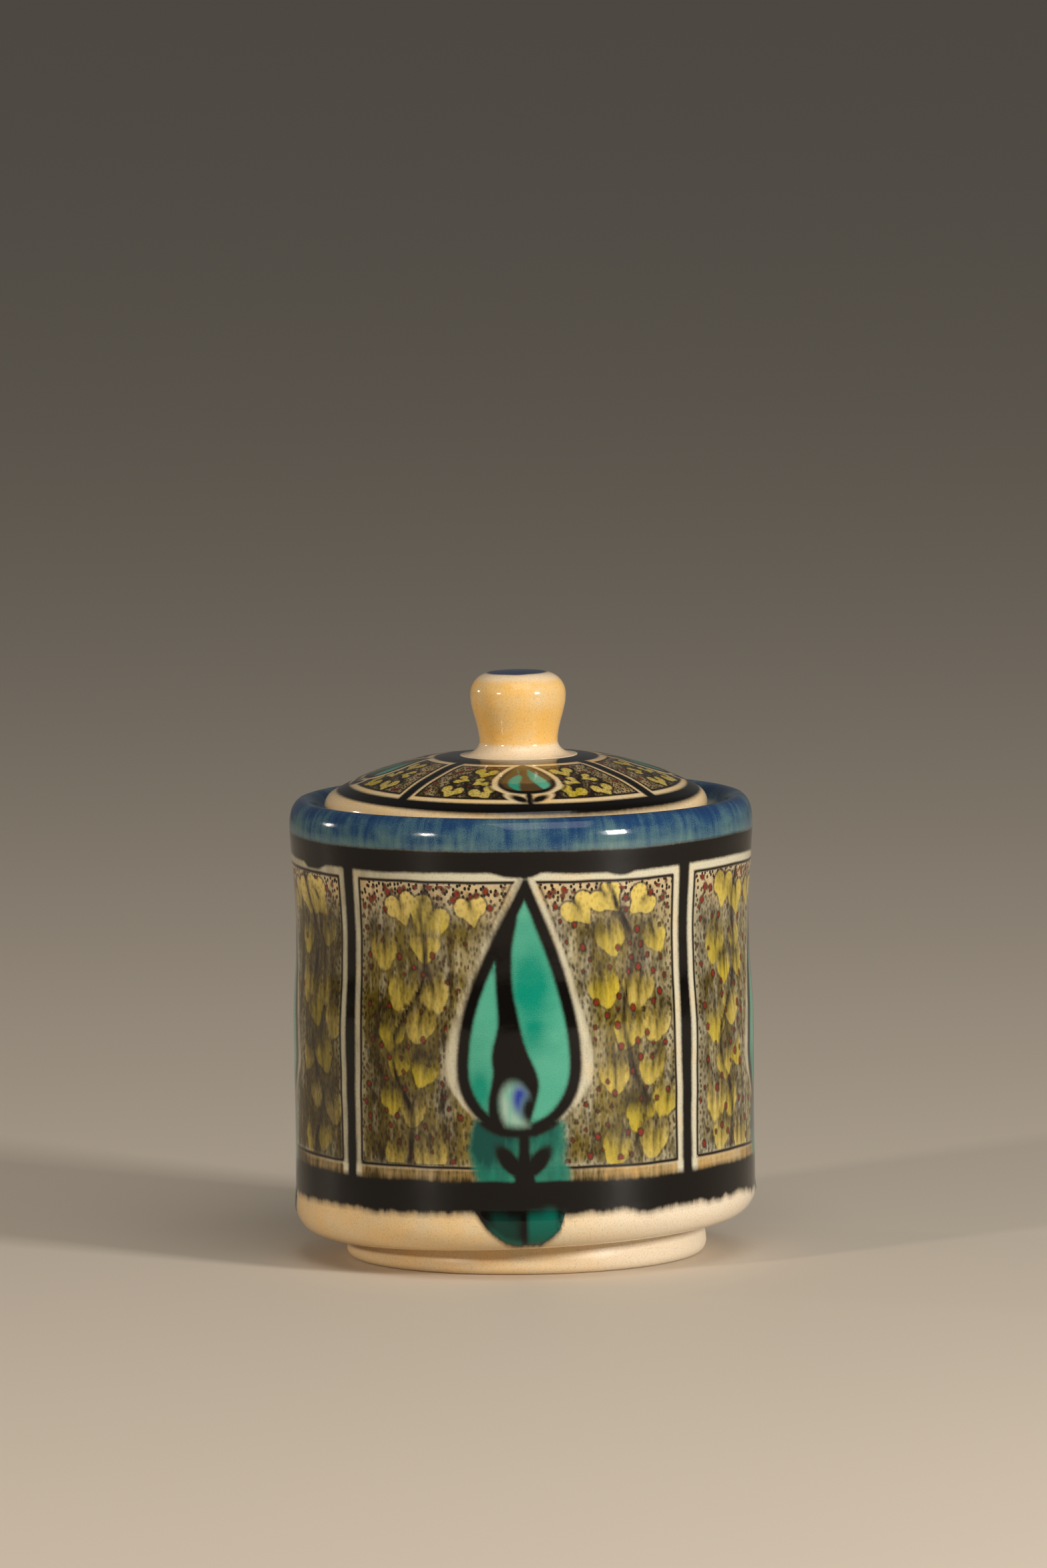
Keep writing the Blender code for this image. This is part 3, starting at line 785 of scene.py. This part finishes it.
def lid_painting(x, y, top):
    """The painted fields of the lid, seen from above: x and y in mm from its centre, with -Y at the front.

    They are the same fields as the jar's. Each quarter is drawn on its own middle line, with a across it and b out
    from the centre.
    """
    rng = np.random.default_rng(5)
    r0 = np.hypot(x, y)
    turn = np.arctan2(x, -y)
    shift = LID_PAINT_SHIFT[0] * np.sin(turn) + LID_PAINT_SHIFT[1] * np.cos(turn)
    r = r0 - shift * r0 / LID_REACH + 0.25 * drift(turn * 40, 22, 41, 2 * np.pi * 40)
    quarter = np.round((turn - LID_TURN) / (np.pi / 2))
    local = wrap(turn - LID_TURN - quarter * np.pi / 2)
    a, b = r * np.sin(local), r * np.cos(local)
    bar = r * np.sin(np.pi / 4 - np.abs(local))
    share = np.clip((b - LID_RING_OUT + 1.0) / (LID_DROP_WIDEST - LID_RING_OUT + 1.0), 0.01, 1)
    width = LID_DROP_HALF * np.sin(np.pi / 2 * share) ** LID_DROP_PINCH
    upper = (np.abs(a) - width) * 0.86
    depth = LID_DROP_BOTTOM - LID_DROP_WIDEST
    lower = (np.hypot(a / LID_DROP_HALF, (b - LID_DROP_WIDEST) / depth) - 1) * 6.2
    drop = np.where(b < LID_DROP_WIDEST, upper, lower)
    side_a = np.abs(a - 0.1)
    along, out = side_a - LID_LEAF_OFFSET, b - LID_LEAF_OUT
    leaf = oval(0.83 * along - 0.55 * out, 0.55 * along + 0.83 * out, LID_LEAF_LONG, LID_LEAF_WIDE)
    frame_mm = np.minimum.reduce([r - LID_PANEL_IN, LID_PANEL_OUT - r, bar - LID_BAR_HALF - LID_LINE, leaf - 0.9])
    halo_mm = drop - LID_HALO
    field = np.minimum(frame_mm, halo_mm)
    # Black: the ring round the knob, the outer band, the bars, and each drop's leaves, stem and outline
    black = np.minimum.reduce(
        [
            np.maximum(r - LID_RING_OUT, 14 - r),
            np.maximum(LID_BAND_IN - r, r - LID_BAND_OUT),
            np.maximum.reduce([bar - LID_BAR_HALF, r - LID_BAND_OUT]),
            leaf,
            np.maximum.reduce([side_a - 0.9, LID_DROP_BOTTOM - 1 - b, b - LID_BAND_IN - 1]),
            np.maximum.reduce([np.abs(drop + 0.5) - 0.45 - 0.55 * smoothstep(b, 40, 43), 26 - b]),
        ]
    )
    # Two green lobes on the brown of the drop, whose half-widths swell and fall as sine waves
    left, right = (np.interp(b, *lobe) for lobe in (LID_LEFT_LOBE, LID_RIGHT_LOBE))
    left_wide = 1.6 * np.sqrt(np.sin(np.pi * np.clip((b - 32.5) / 9.7, 0, 1))) + 0.25 * drift(b, 1.5, 42)
    right_wide = 2.0 * np.sin(np.pi * np.clip((b - 28.0) / 14.0, 0, 1) ** 1.4) ** 0.8
    lobes = np.minimum(np.abs(a - left) - left_wide, np.abs(a - right) - right_wide)
    lobes = np.where((b > 28) & (b < 42.2), lobes, 5.0)
    brown = smoothstep(drop, 0.2, -0.4)
    inner_drop = smoothstep(drop, -0.9, -1.4)

    # Blossoms on both sides of the drop, each with a dark outline, and vines between them
    blossom = np.full(x.shape, FAR)
    tone = np.zeros(x.shape)
    for side in (-1, 1):
        for offset, reach, size, tilt in LID_BLOSSOMS:
            p0, q0 = a - side * offset, reach - b
            p = p0 * math.cos(side * tilt) + q0 * math.sin(side * tilt)
            q = q0 * math.cos(side * tilt) - p0 * math.sin(side * tilt)
            distance = heart_distance(p, q, size)
            tone = np.where(distance < blossom, rng.uniform(0.2, 0.9), tone)
            blossom = np.minimum(blossom, distance)
    vine = np.abs(np.abs(a) - np.interp(b, LID_VINE_LEVELS, LID_VINE)) - 0.75
    for offset, out, bend in LID_CURLS:
        vine = np.minimum(vine, np.abs(np.hypot(np.abs(a) - offset, b - out) - bend) - 0.55)
    ringed = np.abs(blossom - 0.45) - 0.4
    dark = 0.95 * smoothstep(np.minimum(np.maximum(vine, 0.3 - blossom), ringed), 0.4, -0.15)
    red = np.full(x.shape, FAR)
    for _ in range(LID_RED_DOTS):
        place, reach = rng.uniform(-np.pi, np.pi), rng.uniform(*LID_RED_REACH)
        away = np.hypot(x - reach * np.sin(place), y + reach * np.cos(place))
        red = np.minimum(red, away - rng.uniform(*LID_RED_RADII))
    inside = smoothstep(field, 0.1, 0.6)
    edge = smoothstep(r0, LID_REACH, LID_REACH + 1)
    off = np.where(top, 0.0, FAR)
    fields = {
        "dark": dark * inside,
        "wash": 0.85 * inside,
        "brown": brown,
        "teal": smoothstep(lobes, 0.3, -0.3) * inner_drop,
        "deep": smoothstep(a, 4.5, 1.0) * 0.6 + 0.15,
        "body": np.full(x.shape, 0.7),
    }
    fields = {name: np.where(top, values, 0) for name, values in fields.items()}
    none = {name: np.zeros(x.shape) for name in ("smear", "branch", "wet", "cobalt", "spot", "clear", "drip", "run")}
    return fields | none | {
        "black_mm": black + off,
        "eye_mm": np.full(x.shape, FAR),
        "blossom_mm": np.where(field > 0.2, blossom, FAR) + off,
        "frame_mm": np.where(top, frame_mm, -FAR),
        "halo_mm": np.where(top, halo_mm, -FAR),
        "red_mm": np.where((field > 0.6) & (blossom > 0.5), red, FAR) + off,
        "tone": tone,
        "warm": 0.5 + 0.2 * edge,
        "blush": 0.3 * edge,
    }


def lid_outline(s, edge_radius, rise):
    """The lid from the middle of its dome out and round to the middle of its underside, with row weights.

    The dome is a parabola that runs into an arc over the edge. Below lie an arc, the flat seat and a quarter ellipse.
    """
    seat_outer = edge_radius - s.lid_under
    seat_inner = seat_outer - s.lid_seat
    lip = arc((edge_radius - s.lid_lip, s.lid_edge), (s.lid_lip, s.lid_lip), LID_LIP_START, 0, 14)
    share = np.linspace(0, 1, 40)
    fall = (rise - lip[0, 1]) * share**2
    dome = np.stack([s.lid_flat + (lip[0, 0] - s.lid_flat) * share, rise - fall], axis=1)
    under = np.vstack(
        [
            arc((seat_outer, s.lid_edge), (s.lid_under, s.lid_edge), 0, -90, 10)[1:],
            arc((0, 0), (seat_inner, rise - s.lid_wall), 0, 90, 20),
        ]
    )
    weights = np.concatenate([[0.2], np.ones(len(dome) + len(lip) - 1), np.full(len(under), 0.25)])
    return np.vstack([[(0, rise)], dome, lip[1:], under]), weights


class POTTERY_OT_lid(bpy.types.Operator):
    """Turns the domed lid and paints its panels"""

    bl_idname = "pottery.lid"
    bl_label = "Lid"

    def execute(self, context):
        s = sizes_in_mm(context)
        edge_radius, rise = (LID_HIGH[0] - LID_LOW[0]) / 2, LID_HIGH[2] - LID_LOW[2]
        dense = resample(*lid_outline(s, edge_radius, rise), LID_ROWS)
        radius, height = dense[:, :1], LID_LOW[2] + dense[:, 1:]
        top = (np.arange(LID_ROWS) <= np.argmax(dense[:, 0]) + 3)[:, None]
        closed = once_round(LID_COLUMNS)
        x, y = radius * np.sin(closed), -radius * np.cos(closed)
        fields = lid_painting(x[:, :-1], y[:, :-1], top)
        # Throwing rings on the dome as a random wave outwards, gone before the knob and the edge
        rings = 0.12 * drift(radius, 7, 51) * smoothstep(radius, 18, 26) * smoothstep(radius, 50, 44)
        lid = turned_surface("lid_dome", radius, height + rings, closed[:-1], LID_AXIS, fields, (x, y))
        glaze = painted_glaze("Painted earthenware, clear-glazed lid", context.scene.pottery_colours, LID_BRUSH)
        lid.data.materials.append(glaze)
        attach(lid, "lid")
        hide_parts("lid")
        return {"FINISHED"}


def knob_outline(s, spread, rise):
    """The knob from the middle of its top down to its base.

    The crown is a quarter cosine wave, the shoulder a quarter ellipse, the stem half a cosine wave in to the waist
    and the flare a quarter ellipse out to the spread base.
    """
    share = np.linspace(0, 1, 10)[:-1]
    crown = np.stack([s.knob_top * share, rise + KNOB_CROWN * np.cos(np.pi / 2 * share)], axis=1)
    grip = (s.knob_grip, rise - s.knob_shoulder)
    waist = (s.knob_waist, s.knob_waist_rise)
    return np.vstack(
        [
            crown,
            arc((s.knob_top, grip[1]), (s.knob_grip - s.knob_top, s.knob_shoulder), 90, 0, 18),
            ease(grip, waist, 24)[1:],
            arc((spread, waist[1]), (spread - waist[0], waist[1] - KNOB_BASE_LIP), 180, 270, 14)[1:],
            [(spread - KNOB_BASE_TUCK, 0), (0, 0)],
        ]
    )


class POTTERY_OT_knob(bpy.types.Operator):
    """Turns the knob and its spread base"""

    bl_idname = "pottery.knob"
    bl_label = "Knob"

    def execute(self, context):
        s = sizes_in_mm(context)
        base, rise = KNOB_LOW[2] - KNOB_SINK, KNOB_HIGH[2] - KNOB_LOW[2] + KNOB_SINK
        outline = knob_outline(s, (KNOB_HIGH[0] - KNOB_LOW[0]) / 2, rise)
        radius, height = outline[:, :1], outline[:, 1:]
        angle = once_round(KNOB_COLUMNS)[:-1]
        blue_edge = np.hypot(radius * np.sin(angle) + 0.3, radius * np.cos(angle))
        blue_edge = blue_edge + 0.5 * drift(angle * 8, 3.5, 61, 16 * np.pi)
        fields = {
            "cobalt": smoothstep(blue_edge, 9.2, 8.2) * smoothstep(height, rise - 3, rise - 2),
            "blush": 0.7 * np.maximum(smoothstep(height, 4.6, 3.0), smoothstep(height, rise - 3.0, rise - 0.8)),
            "warm": 0.8 + 0.25 * drift(height, 6, 62),
        }
        rings = 0.06 * drift(height, 2.6, 63) * smoothstep(radius, 6, 9)
        knob = turned_surface("knob_turned", radius + rings, base + height, angle, KNOB_AXIS, fields)
        knob.data.materials.append(cream_glaze("Clear-glazed slip", context.scene.pottery_colours))
        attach(knob, "lid")
        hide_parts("knob")
        return {"FINISHED"}


# Fineness of the patterns on Object coordinates, as features in a metre
CLOUDS = 110.0  # clouds in the slip, 9 mm
SPECKS = 1300.0  # cells that may hold an iron speck, 0.8 mm
SAND = 2300.0  # sand in the slip at 0.4 mm, coarser than the real sand, which is too fine to show
SWELL = 190.0  # orange peel of the glaze, 5 mm
SHEEN = 60.0  # patches of duller gloss, 17 mm
BLEED = 900.0  # bleeding of the paint's edges, 1.1 mm

# A fired clear glaze: its IOR, and its roughness in the smoothest and in the dullest patches
GLAZE_IOR = 1.38  # below the usual 1.5, or the mirrored floor would grey the black paint
THICK_GLAZE = 0.06, 0.16
THIN_GLAZE = 0.24, 0.44  # wiped thin on the foot


def new_material(name):
    """A new material, its node tree and its Principled shader."""
    material = bpy.data.materials.new(name)
    material.use_nodes = True
    tree = material.node_tree
    return material, tree, tree.nodes["Principled BSDF"]


def slip_ground(tree, colours):
    """The Object coordinates of a piece, and the colour of cream slip poured over its buff clay.

    To the eye the slip is cloudy, ochre where it is thin and paler where it is thick, with a little sand and with
    iron specks up to 0.3 mm across.
    """
    place = add(tree, "TexCoord", out="Object")
    warm, blush = (add(tree, "Attribute", out="Fac", attribute_name=key) for key in ("warm", "blush"))
    cloud = add(tree, "TexNoise", {"Vector": place, "Scale": CLOUDS, "Detail": 4.0, "Roughness": 0.6}, "Fac")
    stain = add(tree, "MapRange", (cloud, 0.25, 0.75, -0.3, 0.3))
    stain = add(tree, "Math", (stain, warm), operation="ADD", use_clamp=True)
    away = add(tree, "TexVoronoi", {"Vector": place, "Scale": SPECKS}, "Distance")
    chosen = add(tree, "SeparateColor", (away.node.outputs["Color"],))
    reach = add(tree, "Math", (chosen, 0.34, -0.15), operation="MULTIPLY_ADD")
    speck = add(tree, "Math", (reach, away), operation="SUBTRACT")
    speck = add(tree, "MapRange", (speck, 0.0, 0.07, 0.0, 0.6))
    sand = add(tree, "TexNoise", {"Vector": place, "Scale": SAND, "Detail": 2.0}, "Fac")
    sand = add(tree, "MapRange", (sand, 0.50, 0.72, 0.0, 0.22))
    ground = colours.cream
    for over, share in ((colours.ochre, stain), (colours.blush, blush), (colours.speck, speck), (colours.speck, sand)):
        ground = add(tree, "Mix", {0: share, 6: ground, 7: over}, 2, data_type="RGBA")
    return place, ground


def glassy(tree, shader, place, gloss):
    """A fired clear glaze: small, sharp highlights that waver on a faint orange-peel swell and dull in patches."""
    swell = add(tree, "TexNoise", {"Vector": place, "Scale": SWELL, "Detail": 2.0}, "Fac")
    bump = add(tree, "Bump", {"Height": swell, "Strength": 0.10, "Distance": 0.6 * MM}, "Normal")
    sheen = add(tree, "TexNoise", {"Vector": place, "Scale": SHEEN, "Detail": 3.0}, "Fac")
    tree.links.new(bump, shader.inputs["Normal"])
    tree.links.new(add(tree, "MapRange", (sheen, 0.0, 1.0, *gloss)), shader.inputs["Roughness"])
    shader.inputs["IOR"].default_value = GLAZE_IOR


def cream_glaze(name, colours, gloss=THICK_GLAZE):
    """Slip-coated clay dipped in clear glaze: a warm, wet-looking cream, with cobalt where its field says so."""
    material, tree, shader = new_material(name)
    place, colour = slip_ground(tree, colours)
    spot = add(tree, "Attribute", out="Fac", attribute_name="cobalt")
    colour = add(tree, "Mix", {0: spot, 6: colour, 7: colours.cobalt_deep}, 2, data_type="RGBA")
    tree.links.new(colour, shader.inputs["Base Color"])
    glassy(tree, shader, place, gloss)
    return material


PAINT_FIELDS = (
    "black_mm", "eye_mm", "blossom_mm", "frame_mm", "halo_mm", "red_mm", "smear", "tone", "body", "dark", "branch",
    "wash", "wet", "teal", "run", "deep", "spot", "clear", "cobalt", "drip", "brown",
)  # fmt: skip


def painted_glaze(name, colours, dot_scale=1.0):
    """Earthenware painted with oxides on cream slip, then dipped in a clear glaze that ran as it was fired.

    To the eye, lines and dots are crisp at the top of a panel and melt into upright streaks below, under one wet
    gloss. dot_scale sizes the dots and the bleeding of the edges.
    """
    material, tree, shader = new_material(name)
    place, ground = slip_ground(tree, colours)
    uv = add(tree, "UVMap", uv_map="Painting")
    field = {key: add(tree, "Attribute", out="Fac", attribute_name=key) for key in PAINT_FIELDS}

    def mottle(across, down, detail, roughness):
        """Noise over the painting; across and down are the size of its features in mm."""
        shrunk = add(tree, "Mapping", {"Vector": uv, "Scale": (1 / across, 1 / down, 1.0)})
        return add(tree, "TexNoise", {"Vector": shrunk, "Scale": 1.0, "Detail": detail, "Roughness": roughness}, "Fac")

    streak = mottle(2.3, 15.0, 4.0, 0.58)
    blotch = mottle(2.6, 8.0, 3.0, 0.5)
    bleed = add(tree, "TexNoise", {"Vector": place, "Scale": BLEED, "Detail": 4.0, "Roughness": 0.7}, "Fac")
    patch = mottle(12.0, 8.0, 3.0, 0.55)
    # The oxides' grain is far finer, and is drawn as coarse as it needs to show
    grain = mottle(0.30, 0.33, 3.0, 0.75)
    wobble = add(tree, "MapRange", (bleed, 0.25, 0.75, -0.14 * dot_scale, 0.14 * dot_scale))
    strong = add(tree, "MapRange", (streak, 0.30, 0.66, 0.55, 1.20))
    grainy = add(tree, "MapRange", (grain, 0.3, 0.7, 0.60, 1.10))
    blotchy = add(tree, "MapRange", (blotch, 0.3, 0.7, 0.7, 1.35))

    def edge(distance, grow, soft):
        """1 inside a shape grown by some mm, whose distance field is shaken by the bleeding of the glaze."""
        shaken = add(tree, "Math", (distance, wobble), operation="ADD")
        return add(tree, "MapRange", (shaken, grow + soft, grow - soft), interpolation_type="SMOOTHSTEP")

    def line(distance, middle, half, strength):
        """A soft painted line along one level of a distance field."""
        off = add(tree, "Math", (distance, -middle), operation="ADD")
        return add(tree, "MapRange", (add(tree, "Math", (off,), operation="ABSOLUTE"), half, half / 4, 0.0, strength))

    def dots(across, down, small, large):
        """Brushed dots, one in each cell of across by down mm, that fade out from small to large radius."""
        cell = add(tree, "Mapping", {"Vector": uv, "Scale": (1 / across / dot_scale, 1 / down / dot_scale, 1.0)})
        inputs = {"Vector": cell, "Scale": 1.0, "Randomness": 0.95}
        near = add(tree, "TexVoronoi", inputs, "Distance", voronoi_dimensions="2D")
        return add(tree, "MapRange", (near, large, small), interpolation_type="SMOOTHSTEP")

    # Blossoms are crisp where the glaze stayed, and smeared along the streaks where it ran
    field_mm = add(tree, "Math", (field["frame_mm"], field["halo_mm"]), operation="MINIMUM")
    within = add(tree, "MapRange", (field_mm, 0.2, 0.9))
    dryness = add(tree, "MapRange", (field["wet"], 0.0, 1.0, 1.0, 0.25))
    loose = add(tree, "MapRange", (field["body"], 0.2, 0.9, 1.0, 0.2))
    loose = add(tree, "Math", (loose, field["wet"]), operation="MULTIPLY")
    smeared = add(tree, "MapRange", (streak, 0.3, 0.7, 2.0, -1.6))
    smeared = add(tree, "Math", (smeared, loose, field["blossom_mm"]), operation="MULTIPLY_ADD")
    crisp, soft = edge(field["blossom_mm"], 0.0, 0.35), edge(smeared, 0.0, 1.4)
    heart = add(tree, "Mix", {0: loose, 2: crisp, 3: soft})
    heart = add(tree, "Math", (heart, field["body"]), operation="MULTIPLY")
    yellow_share = add(tree, "Math", (heart, field["smear"]), operation="MAXIMUM")
    not_yellow = add(tree, "MapRange", (yellow_share, 0.0, 1.0, 1.0, 0.12))
    outlined = add(tree, "MapRange", (field["wet"], 0.0, 1.0, 0.8, 0.15))
    patchy = add(tree, "MapRange", (patch, 0.3, 0.7, 0.75, 1.15))
    beyond_halo = add(tree, "MapRange", (field["halo_mm"], 0.0, 0.6))

    # Yellow, green, blue and the eye each go from a thin to a thick tone
    thick = field["deep"]
    for noise, low, high in ((patch, -0.15, 0.15), (grain, -0.35, 0.35)):
        thick = add(tree, "Math", (thick, add(tree, "MapRange", (noise, 0.3, 0.7, low, high))), operation="ADD")
    pooled = add(tree, "MapRange", (add(tree, "SeparateXYZ", (uv,), "Y"), 121.0, 131.0, 0.1, 0.7))
    for noise, low, high in ((patch, -0.28, 0.38), (streak, -0.28, 0.30), (grain, -0.36, 0.36)):
        pooled = add(tree, "Math", (pooled, add(tree, "MapRange", (noise, 0.3, 0.7, low, high))), operation="ADD")
    thin, thicker = add(tree, "MapRange", (pooled, -0.3, 0.8)), add(tree, "MapRange", (pooled, 0.5, 1.25))
    within_eye = edge(field["eye_mm"], -0.1, 1.5)
    pale_eye = add(tree, "MapRange", (blotch, 0.3, 0.7, 0.0, 0.8))
    yellow, teal, blue, eye = (
        add(tree, "Mix", {0: share, 6: low, 7: high}, 2, data_type="RGBA")
        for share, low, high in (
            (field["tone"], colours.straw, colours.lemon),
            (thick, colours.teal_pale, colours.teal),
            (thin, colours.celadon, colours.cobalt),
            (pale_eye, colours.eye, colours.teal_pale),
        )
    )
    blue = add(tree, "Mix", {0: thicker, 6: blue, 7: colours.cobalt_deep}, 2, data_type="RGBA")

    # Layers of paint in the order of brushing: colour, where it lies, and what thins it
    colour = ground
    for over, mask, *thinned in (
        (colours.wash, field["wash"], strong, patchy),
        (colours.umber, field["wash"], add(tree, "MapRange", (blotch, 0.47, 0.64, 0.0, 0.95)), field["wet"]),
        (colours.violet, field["branch"], strong),
        (yellow, yellow_share, grainy),
        (colours.umber, field["dark"], strong),
        (colours.umber, dots(1.4, 1.9, 0.2, 0.38), within, not_yellow, dryness),
        (colours.umber, dots(1.35, 2.7, 0.10, 0.42), within, not_yellow, field["wet"], 0.7),
        (colours.umber, line(field["blossom_mm"], 0.25, 0.45, 0.9), within, outlined),
        (colours.umber, line(field["frame_mm"], 0.3, 0.75, 1.0), beyond_halo),
        (colours.umber, line(field["halo_mm"], 0.6, 0.95, 1.0), within, outlined),
        (colours.umber, edge(field["red_mm"], 0.22, 0.28), 0.85),
        (colours.red, edge(field["red_mm"], -0.15, 0.3), grainy),
        (colours.brown, field["brown"]),
        (teal, field["teal"]),
        (colours.run, field["run"], blotchy),
        (blue, field["cobalt"]),
        (colours.umber, edge(field["black_mm"], 0.4, 0.9), field["wet"], 0.7),
        (colours.black, edge(field["black_mm"], 0.0, 0.6)),
        (eye, within_eye, field["clear"]),
        (colours.spot, field["spot"], within_eye, field["clear"]),
        (colours.run, field["drip"], grainy),
        (colours.teal, field["drip"], grainy, 0.35),
    ):
        for share in thinned:
            mask = add(tree, "Math", (mask, share), operation="MULTIPLY")
        colour = add(tree, "Mix", {0: mask, 6: colour, 7: over}, 2, data_type="RGBA")
    tree.links.new(colour, shader.inputs["Base Color"])
    glassy(tree, shader, place, THICK_GLAZE)
    return material


# The photograph's frame and view, in millimetres where nothing else is said
PHOTO_HEIGHT_PX = 2349
PHOTO_SCALE = 5.246  # pixels for each millimetre at the rim
CAMERA_DISTANCE = 4000.0
CAMERA_HEIGHT = 540.0
AIM_HEIGHT = 134.6
AIM_OFFSET = 0.95
CAMERA_ROLL = math.radians(0.77)
SENSOR = 36.0
CLIP_END = 50  # metres
FLOOR_REACH = 12.0  # metres, so that no far edge shows in the frame
FLOOR_COLOUR = "#cfc3b2"
FLOOR_ROUGHNESS = 0.6
ROOM_COLOUR = "#d8d6d2"
ROOM_STRENGTH = 0.15
LAMP_AIM = Vector((0, 0, 0.08))
# Soft lamps: name, place and width in metres, watts and colour
LAMPS = (
    ("key lamp", (1.17, -1.04, 0.56), 0.26, 22.0, "#fff9f3"),
    ("left lamp", (-1.17, -1.04, 0.56), 0.13, 8.5, "#fff2e2"),
    ("far lamp", (-1.46, 0.59, 0.45), 0.13, 2.0, "#fff3e4"),
    ("soft fill", (0.4, -1.4, 2.4), 1.8, 26.0, "#fffbf6"),
)


class POTTERY_OT_stage(bpy.types.Operator):
    """Adds the pale floor, the studio lamps and the camera"""

    bl_idname = "pottery.stage"
    bl_label = "Stage"

    def execute(self, context):
        scene = context.scene
        scene.view_settings.view_transform = "Standard"
        floor_mesh = bpy.data.meshes.new("floor")
        corners = [(x * FLOOR_REACH, y * FLOOR_REACH, 0.0) for x, y in ((-1, -1), (1, -1), (1, 1), (-1, 1))]
        floor_mesh.from_pydata(corners, [], [(0, 1, 2, 3)])
        floor = bpy.data.objects.new("floor", floor_mesh)
        scene.collection.objects.link(floor)
        # Board with a coat of matt paint: an even, pale tone that keeps the jar's shadow soft
        material, _, shader = new_material("Matt-painted board")
        shader.inputs["Base Color"].default_value = linear(FLOOR_COLOUR)
        shader.inputs["Roughness"].default_value = FLOOR_ROUGHNESS
        floor_mesh.materials.append(material)

        world = bpy.data.worlds.new("Studio")
        scene.world = world
        world.use_nodes = True
        room = world.node_tree.nodes["Background"]
        room.inputs["Color"].default_value = linear(ROOM_COLOUR)
        room.inputs["Strength"].default_value = ROOM_STRENGTH

        for name, place, width, power, colour in LAMPS:
            lamp = bpy.data.lights.new(name, "AREA")
            lamp.size = width
            lamp.energy = power
            lamp.color = linear(colour)[:3]
            holder = bpy.data.objects.new(name, lamp)
            holder.location = place
            holder.rotation_euler = (LAMP_AIM - Vector(place)).to_track_quat("-Z", "Y").to_euler()
            scene.collection.objects.link(holder)

        camera = bpy.data.cameras.new("camera")
        camera.lens = PHOTO_SCALE * CAMERA_DISTANCE / PHOTO_HEIGHT_PX * SENSOR
        camera.sensor_width = SENSOR
        camera.clip_end = CLIP_END
        holder = bpy.data.objects.new("camera", camera)
        depth = math.sqrt(CAMERA_DISTANCE**2 - (CAMERA_HEIGHT - AIM_HEIGHT) ** 2)
        place = Vector((AIM_OFFSET, -depth, CAMERA_HEIGHT)) * MM
        aim = Vector((AIM_OFFSET, 0, AIM_HEIGHT)) * MM
        turn = (aim - place).to_track_quat("-Z", "Y").to_matrix().to_4x4()
        holder.matrix_world = Matrix.Translation(place) @ turn @ Matrix.Rotation(-CAMERA_ROLL, 4, "Z")
        scene.collection.objects.link(holder)
        scene.camera = holder
        return {"FINISHED"}


class POTTERY_PT_panel(bpy.types.Panel):
    """Lists the steps that build the jar, and its sizes and colours"""

    bl_label = "Lidded pottery jar"
    bl_space_type = "VIEW_3D"
    bl_region_type = "UI"
    bl_category = "Pottery"

    def draw(self, context):
        """One button for each step, then the sizes and colours"""
        for step in STEPS:
            self.layout.operator(step.bl_idname)
        for group in (context.scene.pottery_sizes, context.scene.pottery_colours):
            for key in type(group).__annotations__:
                self.layout.prop(group, key)


STEPS = (POTTERY_OT_jar, POTTERY_OT_foot, POTTERY_OT_lid, POTTERY_OT_knob, POTTERY_OT_stage)
CLASSES = (JarSizes, JarColours, *STEPS, POTTERY_PT_panel)


def register():
    """Registers the classes and hangs the sizes and colours on the scene."""
    for each in CLASSES:
        bpy.utils.register_class(each)
    bpy.types.Scene.pottery_sizes = bpy.props.PointerProperty(type=JarSizes)
    bpy.types.Scene.pottery_colours = bpy.props.PointerProperty(type=JarColours)


def unregister():
    """Takes the sizes, colours and classes away again."""
    del bpy.types.Scene.pottery_colours
    del bpy.types.Scene.pottery_sizes
    for each in reversed(CLASSES):
        bpy.utils.unregister_class(each)


def main():
    """Builds the pieces and the stage."""
    register()
    bpy.ops.pottery.jar()
    bpy.ops.pottery.foot()
    bpy.ops.pottery.lid()
    bpy.ops.pottery.knob()
    bpy.ops.pottery.stage()


if __name__ == "__main__":
    main()
